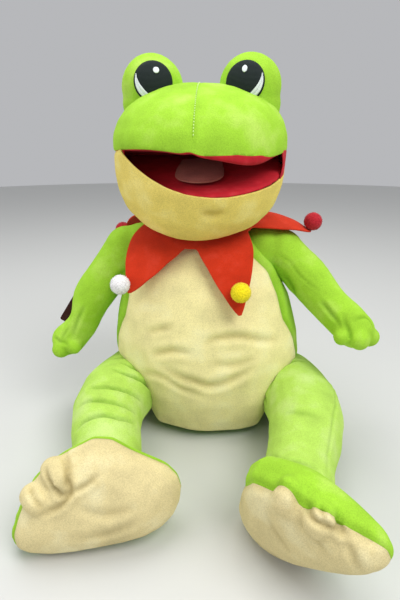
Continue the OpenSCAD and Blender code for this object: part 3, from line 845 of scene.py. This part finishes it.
def head():
    upper = cut_flat(hull_of("upper", ["head_cover"]), HINGE, (0, -sin(PALATE), -cos(PALATE)))
    back = cut_flat(hull_of("rear", ["head_cover"]), HINGE, (0, -sin(THROAT), cos(THROAT)))
    whole = join(upper, back)
    softened(whole, 0.0036, 22, 0.045, 0.0012, 2)
    top = HINGE[2] + 0.085
    nose = [(MIDDLE_X, y, z) for y, z in ((-0.02, top), (-0.06, top - 0.008), (-0.095, top - 0.028),
                                          (-0.118, top - 0.052), (-0.122, HINGE[2] + 0.010))]
    seam = on_surface(whole, spline(nose, 40), (0, -0.6, 0.8))
    creased(whole, seam, 0.0022, 0.0009, 0.2, taper=False)

    def green(c):
        """Above 0 on the green skin: over the lip line, and behind the mouth."""
        behind = np.where(ahead_of_hinge(c) < 0, 0.1, (below_level(c) - PALATE_END) * MM)
        return np.maximum(above_palate(c) - lip_line(c), behind)

    skin = split(whole, "head_skin", green, True)
    palate = split(whole, "palate_cloth", green, False)
    droop(skin)
    droop(palate)
    finished(shell(skin, 0.0024), "lime_plush", "head", nodes=["head_cover", "head_foam"])
    finished(shell(palate, 0.0014), "mouth_lining", "head", nodes=["palate_lining"])
    stitches("nose_stitches", seam, "head")
    dropped(whole)


def lip_line(co):
    """How far above the palate the red lining is turned out: more at the puppet's left corner."""
    x = sideways(co)
    return 0.0005 + 0.0062 * np.clip((x - 0.02) / 0.4, 0, 1) ** 1.1 * np.clip((0.86 - x) / 0.2, 0, 1)


def droop(ob):
    """Lets the front of the upper lip hang, lowest left of the middle, with a notch at the nose seam."""
    co = points(ob)
    x = sideways(co)
    forward = ahead_of_hinge(co)
    front = smoothstep((forward - 0.045) / 0.055)
    low = -0.0088 * bell(x - 0.18, 0.5) + 0.0028 * bell(x + 0.03, 0.07) - 0.0110 * bell(x - 0.62, 0.34)
    co[:, 2] += low * front * bell(np.maximum(above_palate(co), 0), 0.019)
    set_points(ob, co)


def on_surface(ob, path, along):
    """The path dropped onto a surface, against a direction."""
    tree = surface_tree(ob)
    toward = -Vector(along).normalized()
    out = []
    for p in path:
        hit = tree.ray_cast(Vector(p) - toward * 0.2, toward)[0]
        out.append(np.array(hit if hit is not None else p))
    return np.array(out)


def stitches(name, path, body, pitch=0.0036):
    """A row of small thread stitches along a seam."""
    length = np.concatenate([[0], np.cumsum(np.linalg.norm(np.diff(path, axis=0), axis=1))])
    total = None
    for k, s in enumerate(np.arange(pitch, length[-1] - pitch, pitch)):
        a = np.array([np.interp(s, length, path[:, i]) for i in range(3)])
        b = np.array([np.interp(s + pitch * 0.55, length, path[:, i]) for i in range(3)])
        row = np.array([a, a * 0.7 + b * 0.3, a * 0.3 + b * 0.7, b])
        bit = tube(f"{name}_{k}", row, [0.0002, 0.0006, 0.0006, 0.0002], 6)
        total = bit if total is None else join(total, bit)
    total.name = name
    finished(smooth(total), "pale_thread", body)


MOUND_R = 0.0375
DISC_LIFT, WHITE_LIFT, PATCH_T = 0.0016, 0.0024, 0.0008
DISC_R = 22.3
# each eye's disc: its shift across and up on the mound, then its glint's place and radius, in millimetres
EYES = {RIGHT: (-1.2, -2.2, -5.0, 8.2, 3.6), LEFT: (2.2, -3.0, 2.6, 8.6, 3.0)}


def eye_middle(side):
    return np.array((MIDDLE_X + side * 0.059, -0.010, 0.452))


def eye_place(side, across, up, radius):
    """A point on the eye mound: millimetres across and up from the eye's middle."""
    centre = eye_middle(side)
    turn, tilt = radians(side * -9), radians(10)
    ahead = np.array((sin(turn) * cos(tilt), -cos(turn) * cos(tilt), sin(tilt)))
    right = unit(np.cross(ahead, (0, 0, 1)))
    rise = np.cross(right, ahead)
    a, u = across * MM, up * MM
    deep = sqrt(max(radius * radius - a * a - u * u, 1e-9))
    return centre + ahead * deep + right * a + rise * u


def eye_patch(name, side, inner, outer, lift, kind, nodes, pinched=False):
    """A raised embroidered patch between two outlines of (across, up) in millimetres."""
    rows = 14

    def place(i, j):
        s = j / rows
        across, up = np.array(inner[i]) * (1 - s) + np.array(outer[i]) * s
        edge = min(s, 1 - s) if pinched else 1 - s
        return eye_place(side, across, up, MOUND_R + lift - 0.0009 * exp(-edge * 18))

    ob = grid(name, len(outer), rows + 1, place, closed=True)
    bm = bmesh_of(ob.data)
    bmesh.ops.remove_doubles(bm, verts=bm.verts, dist=1e-5)
    bmesh.ops.recalc_face_normals(bm, faces=bm.faces)
    put_back(bm, ob)
    if normals(ob).mean(0) @ (eye_place(side, 0, 0, MOUND_R) - eye_middle(side)) < 0:
        ob.data.flip_normals()
    finished(smooth(applied(thickened(ob, PATCH_T))), kind, "head", nodes=nodes)


def oval(cx, cy, rx, ry, count=64):
    return [(cx + rx * cos(t), cy + ry * sin(t)) for t in np.linspace(0, 2 * pi, count, False)]


def eyes():
    for side, word in SIDES.items():
        root = np.array((MIDDLE_X + side * 0.060, -0.008, 0.434))
        mound = copy_of(f"eye_mound_skin_{word}", [], balls=[(eye_middle(side), MOUND_R), (root, 0.0368)])
        softened(mound, 0.0026, 6, 0.03, 0.0006, 3 + side)
        finished(finely(mound), "lime_plush", "head",
                 nodes=[f"eye_mound_{word}", f"eye_filling_{word}"])
        dx, dy, glint_x, glint_y, glint_r = EYES[side]
        eye_patch(f"eye_disc_{word}", side, [(dx, dy)] * 64, oval(dx, dy, DISC_R, DISC_R), DISC_LIFT,
                  "eye_black", [f"eye_patch_{word}"])
        # the crescent lies in the outer lower part of the disc
        turns = np.radians(np.linspace(20, -105, 40) if side == RIGHT else np.linspace(-200, -75, 40))
        edge = DISC_R - 1.7
        fat = [6.4 * sin(pi * min(max(i / 39, 0.001), 0.999)) ** 0.8 for i in range(40)]

        def arc(share):
            """An arc inside the disc's edge, in by a share of the crescent's width."""
            radii = [edge - f * share for f in fat]
            return [(dx + r * cos(t), dy + r * sin(t)) for t, r in zip(turns, radii)]

        outer, inner, middle = arc(0), arc(1), arc(0.5)
        eye_patch(f"eye_crescent_{word}", side, middle + middle[::-1], outer + inner[::-1], WHITE_LIFT,
                  "eye_white", [f"eye_white_{word}"], pinched=True)
        glint = oval(glint_x, glint_y, glint_r, glint_r * (1.0 if side == RIGHT else 1.35), 32)
        eye_patch(f"eye_glint_{word}", side, [(glint_x, glint_y)] * 32, glint, WHITE_LIFT, "eye_white",
                  [f"eye_glint_{word}"])


head()
eyes()


# ---- jaw and mouth
def lower_rim(co):
    """How high the lower lip stands above the lip plane: it is drawn up to the puppet's right corner."""
    x = sideways(co)
    return 0.0318 * np.clip((0.16 - x) / 0.95, 0, 1.1) ** 1.75 - 0.0025 * np.clip((x - 0.1) / 0.25, 0, 1)


MOUTH_UP = np.array((0, -sin((LIP - PALATE) / 2), cos((LIP - PALATE) / 2)))


def muzzle():
    """The whole outline of head and jaw as one closed form, from which the lower skins are cut."""
    return softened(hull_of("muzzle", ["head_cover", "jaw_cover"]), 0.0036, 18)


def blended_at_hinge(ob):
    """Bakes a skin's placement into its mesh."""
    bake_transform(ob)


def jaw():
    whole = muzzle()
    dimple = np.array([(-6, -150, 323), (6, -150, 320), (19, -150, 323)]) * MM
    creased(whole, on_surface(whole, dimple, (0, -1, 0.1)), 0.006, 0.0026, 0.3)
    uneven(whole, 0.04, 0.0012, 5)
    skin = split(whole, "jaw_skin", lambda c: np.maximum.reduce([
        above_lip(c) - lower_rim(c), above_palate(c) - 0.003, (below_level(c) - JAW_END) * MM]), False)
    co = points(skin)
    tuck = np.clip((above_palate(co) + 0.004) / 0.006, 0, 1) + np.clip((below_level(co) - 61) / 5, 0, 1)
    set_points(skin, co - normals(skin) * (0.0032 * np.minimum(tuck, 1))[:, None])
    finished(shell(skin, PLUSH_T), "jaw_plush", None, ["jaw_cover", "jaw_foam"])
    blended_at_hinge(skin)
    dropped(whole)


def mouth_floor():
    """The red cloth over the lower jaw, drawn in from its rim and a little lower in its middle."""
    bed = softened(hull_of("bed", ["jaw_cover"]), 0.0036, 6)
    floor = split(bed, "mouth_floor_cloth", lambda c: above_lip(c) + 0.0035, True)
    co = points(floor)
    forward = ahead_of_hinge(co)
    away = np.clip(1 - np.hypot(sideways(co), (forward - 0.045) / 0.085), 0, 1)
    co[:, 0] = MIDDLE_X + (co[:, 0] - MIDDLE_X) * 0.978
    co[:, 1] = HINGE[1] - forward * 0.982
    co[:, 2] += 0.0016 - 0.0010 * away
    set_points(floor, co)
    finished(shell(floor, LINING_T), "mouth_lining", "jaw", nodes=["mouth_floor_lining"])
    dropped(bed)


def corner_lining(side, reach, inset, flare):
    """The lining's side wall at one corner of the mouth; flare takes it further along palate and floor."""
    whole = muzzle()
    set_points(whole, points(whole) - normals(whole) * inset)

    def outside(c):
        """Above 0 where there is no wall."""
        forward = ahead_of_hinge(c)
        bay = forward - reach - flare * np.abs((c - HINGE) @ MOUTH_UP + 0.002)
        return np.maximum.reduce([above_palate(c) - 0.002, -0.0035 - above_lip(c),
                                  (MIDDLE_X - c[:, 0]) * side + 0.03, bay, 0.001 - forward])

    wall = split(whole, f"corner_lining_{SIDES[side]}", outside, False)
    dropped(whole)
    finished(shell(wall, 0.0012), "mouth_lining")
    blended_at_hinge(wall)


def cheek():
    """The skin of the throat, which folds between head and jaw."""
    whole = muzzle()
    set_points(whole, points(whole) - normals(whole) * CHEEK_INSET)
    skin = split(whole, "cheek_skin", lambda c: np.maximum.reduce([
        (CHEEK_START - below_level(c)) * MM, (below_level(c) - CHEEK_END) * MM,
        0.004 - np.hypot(c[:, 1] - HINGE[1], c[:, 2] - HINGE[2])]), False)
    dropped(whole)
    finished(shell(skin, 0.0020), "jaw_plush", None)
    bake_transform(skin)


def mouth_fold():
    """The red cloth at the back of the mouth, from palate to floor."""
    rows, columns, reach = 24, 40, 0.022

    def place(i, j):
        s = j / rows
        if s < 0.3:
            near = reach * (1 - s / 0.3)
            y, z = -near, near * tan(PALATE) - 0.0012
        elif s > 0.7:
            near = reach * (s - 0.7) / 0.3
            y, z = -near, -near * tan(LIP) + 0.0002
        else:
            t = (s - 0.3) / 0.4
            y, z = 0.004 * sin(pi * t), -0.0012 + 0.0014 * t
        return MIDDLE_X + 0.101 * (2 * i / columns - 1), HINGE[1] + y, HINGE[2] + z

    ob = thickened(grid("mouth_fold", columns + 1, rows + 1, place), 0.0010, 0)
    finished(smooth(applied(ob)), "mouth_lining")
    blended_at_hinge(ob)


def tongue():
    """A flat rounded tongue that lies on the mouth's floor and lifts a little at its tip."""
    length, half = 0.073, 0.0285
    rows, columns = 26, 22

    def place(i, j):
        s, c = i / rows, 2 * j / columns - 1
        forward = 0.030 + length * s
        tip = sqrt(max(1 - max((s - 0.62) / 0.38, 0) ** 2, 0.0004))
        w = half * tip * (0.86 + 0.14 * min(s / 0.4, 1))
        dome = 0.0018 * (1 - c * c) * min((1 - s) * 6, 1)
        up = 0.0026 + dome + 0.010 * max(s - 0.6, 0) ** 2
        y = HINGE[1] - forward * cos(LIP) - up * sin(LIP)
        return MIDDLE_X + 0.002 + w * c, y, HINGE[2] - forward * sin(LIP) + up * cos(LIP)

    ob = thickened(grid("tongue_cloth_piece", rows + 1, columns + 1, place), 0.0018)
    finished(finely(ob), "tongue_cloth", "jaw", nodes=["tongue"])


jaw()
mouth_floor()
corner_lining(RIGHT, 0.088, CHEEK_INSET, 0)
corner_lining(LEFT, 0.062, 0.0006, 0.5)
cheek()
mouth_fold()
tongue()


# ---- neck
def neck():
    """The gathered neck under the collar."""
    low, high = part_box("neck_cover")
    rows, around = 30, 96
    radius = 0.044

    def place(k, i):
        z = low.z + (high.z + 0.004 - low.z) * k / rows
        t = 2 * pi * i / around
        gather = 1 - 0.02 * (0.5 + 0.5 * sin(15 * t)) - 0.01 * sin(7 * t + 1)
        r = sqrt(max(radius ** 2 - (z - NECK[2]) ** 2, 1e-6)) * gather
        return NECK[0] + r * cos(t), NECK[1] + r * sin(t), z

    ob = grid("neck_skin", rows + 1, around, place, ring=True)
    finished(shell(ob, PLUSH_T), "lime_plush", "neck", nodes=["neck_cover"])


neck()


# ---- folds and seams pressed into each limb: points, width and depth in millimetres
ARM_FOLDS = {
    LEFT: [
        ([(143, -63, 200), (154, -71, 189), (167, -80, 177)], 3, 2.2),
        ([(181, -84, 183), (197, -79, 185), (207, -86, 172)], 2.4, 2.0),
        ([(168, -78, 187), (175, -88, 172), (179, -92, 160)], 2.4, 1.8),
        ([(88, -26, 252), (104, -36, 244), (117, -44, 228), (139, -57, 213)], 1.8, 1.0),
        ([(98, -30, 226), (112, -34, 212), (120, -30, 200)], 4, 2.2)],
    RIGHT: [
        ([(-173, -46, 179), (-183, -49, 159), (-191, -52, 138)], 3, 2.2),
        ([(-225, -50, 133), (-212, -56, 129), (-199, -61, 126)], 2.2, 1.8),
        ([(-200, -58, 150), (-206, -60, 141), (-205, -62, 131)], 2.4, 1.6),
        ([(-112, -30, 226), (-124, -34, 214), (-132, -32, 200)], 4, 2.0)],
}
LEG_FOLDS = {
    RIGHT: [
        ([(-118, -74, 110), (-98, -78, 101), (-83, -71, 89), (-74, -63, 73), (-72, -40, 50)], 2.5, 4.0),
        ([(-128, -92, 110), (-110, -97, 105), (-92, -93, 93), (-78, -80, 70), (-74, -66, 50)], 2.5, 4.0),
        ([(-146, -128, 100), (-134, -132, 104), (-117, -131, 104), (-99, -126, 97), (-83, -117, 76)],
         2.6, 4.0),
        ([(-152, -150, 86), (-140, -152, 99), (-122, -154, 100), (-104, -153, 96), (-85, -146, 78)],
         2.6, 3.4),
        ([(-146, -180, 76), (-138, -179, 88), (-115, -175, 95), (-97, -174, 90), (-82, -164, 76)], 2.5, 4.0),
        ([(-136, -60, 108), (-120, -56, 109), (-106, -52, 104), (-96, -48, 98)], 4, 1.8)],
    LEFT: [
        ([(95, -24, 100), (83, -54, 90), (77, -72, 75), (79, -92, 63)], 2.5, 4.0),
        ([(136, -44, 110), (118, -50, 108), (95, -66, 100), (83, -85, 84)], 2.5, 3.4),
        ([(168, -60, 84), (164, -90, 88), (159, -118, 89), (148, -158, 88), (137, -197, 79),
         (126, -238, 79)], 2, 1.2),
        ([(78, -204, 70), (82, -224, 84), (101, -230, 90), (118, -235, 85)], 3.4, 2.0),
        ([(96, -150, 92), (112, -158, 97), (130, -162, 96)], 4.5, 1.6)],
}
FOOT_FOLDS = {
    RIGHT: [
        ([(-136, -240, 96), (-125, -264, 90), (-122, -273, 77), (-130, -278, 66), (-146, -281, 58)], 3, 3.6),
        ([(-123, -273, 77), (-109, -269, 82), (-96, -262, 90)], 3, 2.6),
        ([(-148, -262, 96), (-141, -273, 87), (-132, -274, 76), (-122, -274, 75)], 2.8, 3.4),
        ([(-146, -281, 64), (-156, -276, 74), (-163, -266, 82)], 2.6, 2.6),
        ([(-112, -280, 66), (-90, -279, 57), (-60, -268, 58)], 4.5, 1.4),
        ([(-110, -284, 34), (-84, -282, 36), (-62, -274, 42)], 4.5, 1.2)],
    LEFT: [
        ([(92, -300, 110), (94, -313, 110), (102, -321, 109), (113, -320, 104), (124, -323, 101)], 2.8, 3.4),
        ([(102, -310, 120), (104, -317, 115), (106, -322, 108)], 2.2, 2.6),
        ([(116, -310, 113), (116, -317, 106), (118, -322, 101)], 2.2, 2.6),
        ([(88, -306, 98), (92, -318, 88), (104, -326, 80)], 4, 1.8),
        ([(122, -323, 100), (126, -332, 88), (130, -336, 78)], 3.6, 1.6),
        ([(66, -284, 76), (70, -292, 58), (84, -300, 46)], 4.5, 1.3)],
}


# ---- arms
WRIST = {LEFT: (168, -56, 196), RIGHT: (-185, -33, 150)}
HAND_SHIFT = {LEFT: (-0.005, 0, 0.005), RIGHT: (0.008, 0, 0)}


def slimmer_wrist(ob, side):
    """Draws the forearm in above the hand, most on its outer side, and turns the hand in a little."""
    co = points(ob)
    wrist = np.array(WRIST[side]) * MM
    line = unit(wrist - SHOULDER[side])
    reach = (co - wrist) @ line
    near = bell(reach, 0.027)
    spoke = co - wrist - np.outer(reach, line)
    outer = spoke[:, 0] * side / 0.025
    drawn = 0.40 * np.clip(outer, 0, 1) + (0.25 if side == RIGHT else -0.06) * np.clip(outer, -1, 0)
    along = smoothstep((reach + 0.020) / 0.050)
    set_points(ob, co - spoke * (near * drawn)[:, None] + np.outer(along, HAND_SHIFT[side]))


def shoulder(side):
    """The gathered skin between torso and arm."""
    word = SIDES[side]
    inner = SHOULDER[side] + np.array((-side * 0.022, 0.004, 0.002))
    ob = copy_of(f"shoulder_skin_{word}", [], balls=[(SHOULDER[side], 0.0315), (inner, 0.034)])
    softened(ob, 0.0035, 10, 0.02, 0.0010, 23 + side)
    finished(finely(ob), "lime_plush", None)
    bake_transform(ob)


def arm(side):
    word = SIDES[side]
    parts = [f"arm_cover_{word}", f"arm_stuffing_{word}", f"shoulder_ball_{word}"]
    whole = copy_of(f"arm_skin_{word}", parts)
    softened(whole, 0.0030, 12, 0.03, 0.0012, 7 + side)
    slimmer_wrist(whole, side)
    folded(whole, ARM_FOLDS[side])
    finished(finely(whole), "lime_plush", f"arm_{word}", nodes=parts)


# ---- legs and feet
def leg(side):
    word = SIDES[side]
    parts = [f"leg_cover_{word}", f"leg_stuffing_{word}", f"hip_ball_{word}"]
    whole = copy_of(f"leg_skin_{word}", parts)
    softened(whole, 0.0028, 24, 0.04, 0.0014, 11 + side)
    folded(whole, LEG_FOLDS[side])
    # painted shade on the left leg's outer panel, which is turned away from the light
    if side == LEFT:
        rise = (points(whole) - HIP[side]) @ unit(np.array((1, -0.1, -0.55)))
        shaded(whole, 0.28 * np.clip((rise - 0.058) / 0.004, 0, 1))
    finished(finely(whole), "leg_plush", f"leg_{word}", parts)


FOOT = {LEFT: ((91, -264, 59), (36, -54, 76), (-0.69, 0.45, 0.57)),
        RIGHT: ((-100, -246, 52), (-131, -18, 13), (0, 0.38, 0.93))}


def foot_axes(side):
    centre, ahead, hint = (np.array(v, float) for v in FOOT[side])
    ahead = unit(ahead)
    up = unit(hint - ahead * (hint @ ahead))
    return centre * MM, ahead, up, np.cross(ahead, up) * side


def foot(side):
    word = SIDES[side]
    centre, ahead, up, out = foot_axes(side)
    whole = copy_of("foot_whole", [f"foot_top_{word}", f"foot_sole_{word}", f"foot_stuffing_{word}"])
    softened(whole, 0.0030, 9, 0.035, 0.0012, 17 + side)
    folded(whole, FOOT_FOLDS[side])

    def seam(c):
        """Above 0 on the cream sole; the seam swings over the front of the left foot."""
        along, across, outward = (c - centre) @ ahead, (c - centre) @ up, (c - centre) @ out
        if side == LEFT:
            swing = 0.017 * np.clip((across + 0.046) / 0.056, 0, 1.05)
            swing = swing * np.clip((along + 0.060) / 0.055, 0, 1)
        else:
            swing = 0.006 * np.clip((along - 0.055) / 0.03, 0, 1)
        return outward - swing

    seamed(whole, seam, 0.0030, 0.0018)
    sole = split(whole, f"sole_skin_{word}", seam, True)
    top = split(whole, f"instep_skin_{word}", seam, False)
    dropped(whole)
    finished(shell(sole, PLUSH_T), "sole_plush", f"leg_{word}",
             [f"foot_sole_{word}", f"foot_stuffing_{word}"])
    finished(shell(top, PLUSH_T), "lime_plush", f"leg_{word}", [f"foot_top_{word}"])


for side in SIDES:
    shoulder(side)
    arm(side)
    leg(side)
    foot(side)


# ---- tag and inner parts
def tag():
    """A plain card with rounded corners and a hole."""
    node = frame["nodes"]["hang_tag"]
    co = np.array([v.co for v in node.data.vertices])
    centre = co.mean(0)
    _, _, axes = np.linalg.svd(co - centre, full_matrices=False)
    tall, wide = axes[:2]
    if tall[2] < 0:
        tall = -tall
    low, high = ((co - centre) @ axes.T).min(0), ((co - centre) @ axes.T).max(0)
    centre = centre + (low + high) / 2 @ axes
    half_h, half_w, half_t = (high - low) / 2
    corner = 0.003
    outline = []
    for cx, cz, start in ((1, 1, 0), (-1, 1, 90), (-1, -1, 180), (1, -1, 270)):
        for k in range(5):
            t = radians(start + 22.5 * k)
            outline.append((cx * (half_w - corner) + corner * cos(t),
                            cz * (half_h - corner) + corner * sin(t)))
    hole = oval(0, half_h - 0.007, 0.0020, 0.0020, 18)
    bm = bmesh.new()
    for loop in (outline, hole):
        ring = [bm.verts.new(Vector(centre + wide * a + tall * b)) for a, b in loop]
        for k, v in enumerate(ring):
            bm.edges.new((v, ring[k - 1]))
    bmesh.ops.triangle_fill(bm, use_beauty=True, edges=bm.edges[:])
    ob = bevelled(thickened(from_bmesh("tag_plate", bm), half_t * 2, 0), 0.0002)
    finished(applied(ob), "tag_card", "arm_right", nodes=["hang_tag"])


tag()
kinds = {s["node"]: s["material_slot"] for s in frame["record"]["subparts"]}
for name, node in frame["nodes"].items():
    if not node.hide_render:
        node.data.materials.clear()
        node.data.materials.append(MATERIALS[kinds[name]])


# ---- stage, light and camera
def stage():
    below = cad_low.z - 0.0005
    bpy.ops.mesh.primitive_circle_add(vertices=96, radius=4.0, fill_type="NGON", location=(0, 0, below))
    floor = bpy.context.object
    floor.name = "floor"
    floor.data.materials.append(Look("pale_floor", (0.58, 0.585, 0.565), 0.4).made)


def area_light(name, at, target, size, power, colour=(1, 1, 1)):
    data = bpy.data.lights.new(name, "AREA")
    data.shape = "DISK"
    data.size = size
    data.energy = power
    data.color = colour
    lamp = linked(name, data)
    lamp.location = at
    lamp.rotation_euler = (Vector(target) - Vector(at)).to_track_quat("-Z", "Y").to_euler()


def camera():
    azimuth, pitch = radians(4.0), radians(20.5)
    distance, height, shift = 0.575, 0.390, -0.016
    right = Vector((cos(azimuth), sin(azimuth), 0))
    level = Vector((-sin(azimuth), cos(azimuth), 0))
    ahead = level * cos(pitch) - Vector((0, 0, 1)) * sin(pitch)
    data = bpy.data.cameras.new("camera")
    data.sensor_width = 36
    data.lens = 25.26
    data.clip_start = 0.02
    ob = linked("camera", data)
    ob.location = right * shift - level * distance + Vector((0, 0, height))
    ob.rotation_mode = "QUATERNION"
    ob.rotation_quaternion = ahead.to_track_quat("-Z", "Y")
    scene.camera = ob


stage()
area_light("key", (0.9, -0.9, 1.7), (0, -0.1, 0.2), 1.2, 26)
area_light("top", (-0.3, 0.2, 2.0), (0, -0.05, 0.2), 1.6, 22)
area_light("fill", (-1.3, -1.0, 0.8), (0, -0.05, 0.25), 1.2, 7)
camera()
world = bpy.data.worlds.new("studio")
world.use_nodes = True
world.node_tree.nodes["Background"].inputs["Color"].default_value = (0.86, 0.87, 0.90, 1)
world.node_tree.nodes["Background"].inputs["Strength"].default_value = 0.55
scene.world = world
scene.view_settings.view_transform = "Standard"
